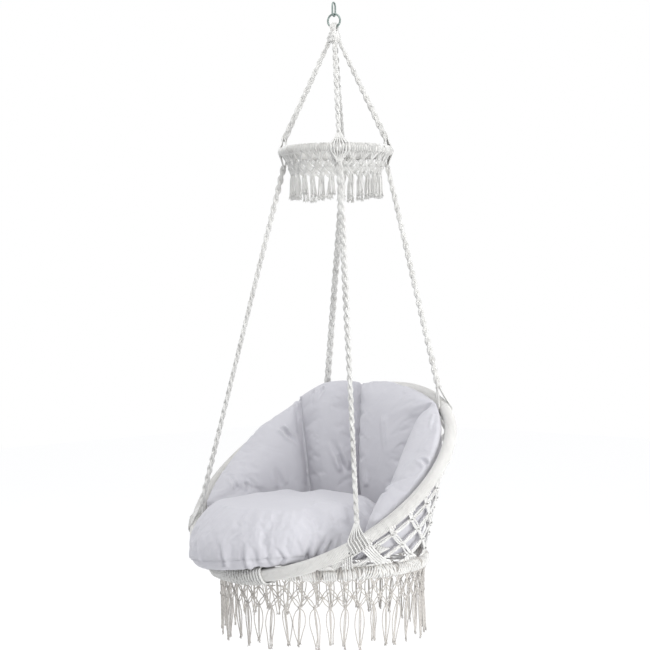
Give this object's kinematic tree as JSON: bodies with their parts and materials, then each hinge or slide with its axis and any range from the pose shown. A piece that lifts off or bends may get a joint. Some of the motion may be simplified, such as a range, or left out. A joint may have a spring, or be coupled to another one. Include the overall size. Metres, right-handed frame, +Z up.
{
  "type": "hammock chair",
  "caption": "Hanging macrame hammock chair: a knotted cord bowl on tilted wrapped rings, braided ropes under a small canopy ring, tasselled fringes and loose seat and back cushions.",
  "frame": {"origin": "hanging point: inside top of the hanger link, where a hook bears", "axes": "+Z up, the sitter faces -Y, the sitter's left hand is +X"},
  "size_m": [0.7976, 0.6707, 1.6908],
  "materials": {
    "zinc_steel": "dull zinc plate",
    "tube_steel": "bare welded tube under the cord wrap",
    "cotton_cord": "off-white twisted cotton cord",
    "cushion_cloth": "pale cool grey woven cloth"
  },
  "bodies": {
    "hanger": {"hanger_link": "zinc_steel"},
    "ring": {"steel_ring": "zinc_steel"},
    "chair": {"rope_loops": "cotton_cord", "gathering_knot": "cotton_cord", "upper_rope_front_left": "cotton_cord", "canopy_knot_front_left": "cotton_cord", "lower_rope_front_left": "cotton_cord", "rim_lashing_front_left": "cotton_cord", "upper_rope_back_left": "cotton_cord", "canopy_knot_back_left": "cotton_cord", "lower_rope_back_left": "cotton_cord", "rim_lashing_back_left": "cotton_cord", "upper_rope_back_right": "cotton_cord", "canopy_knot_back_right": "cotton_cord", "lower_rope_back_right": "cotton_cord", "rim_lashing_back_right": "cotton_cord", "upper_rope_front_right": "cotton_cord", "canopy_knot_front_right": "cotton_cord", "lower_rope_front_right": "cotton_cord", "rim_lashing_front_right": "cotton_cord", "canopy_hoop": "tube_steel", "canopy_spigot": "tube_steel", "canopy_wrap_left": "cotton_cord", "canopy_wrap_back": "cotton_cord", "canopy_wrap_right": "cotton_cord", "canopy_wrap_front": "cotton_cord", "rim_hoop": "tube_steel", "rim_spigot": "tube_steel", "rim_wrap_left": "cotton_cord", "rim_wrap_back": "cotton_cord", "rim_wrap_right": "cotton_cord", "rim_wrap_front": "cotton_cord", "base_hoop": "tube_steel", "base_spigot": "tube_steel", "base_wrap_left": "cotton_cord", "base_wrap_back": "cotton_cord", "base_wrap_right": "cotton_cord", "base_wrap_front": "cotton_cord", "canopy_fringe_front_left": "cotton_cord", "canopy_fringe_back_left": "cotton_cord", "canopy_fringe_back_right": "cotton_cord", "canopy_fringe_front_right": "cotton_cord", "base_fringe_front_left": "cotton_cord", "base_fringe_back_left": "cotton_cord", "base_fringe_back_right": "cotton_cord", "base_fringe_front_right": "cotton_cord", "front_lashing": "cotton_cord", "bowl_net_front_left": "cotton_cord", "bowl_net_left": "cotton_cord", "bowl_net_back_left": "cotton_cord", "bowl_net_back_right": "cotton_cord", "bowl_net_right": "cotton_cord", "bowl_net_front_right": "cotton_cord", "seat_net": "cotton_cord", "seat_cushion": "cushion_cloth", "back_cushion": "cushion_cloth"}
  },
  "joints": [
    {"name": "ring_rock", "type": "hinge", "parent": "hanger", "child": "ring", "pos_m": [0, 0, -0.0345], "axis": [0.342, -0.9397, 0], "range_deg": [-25, 25]},
    {"name": "chair_swing", "type": "hinge", "parent": "ring", "child": "chair", "pos_m": [0, 0, -0.06407], "axis": [0.9397, 0.342, 0], "range_deg": [-25, 25]}
  ]
}
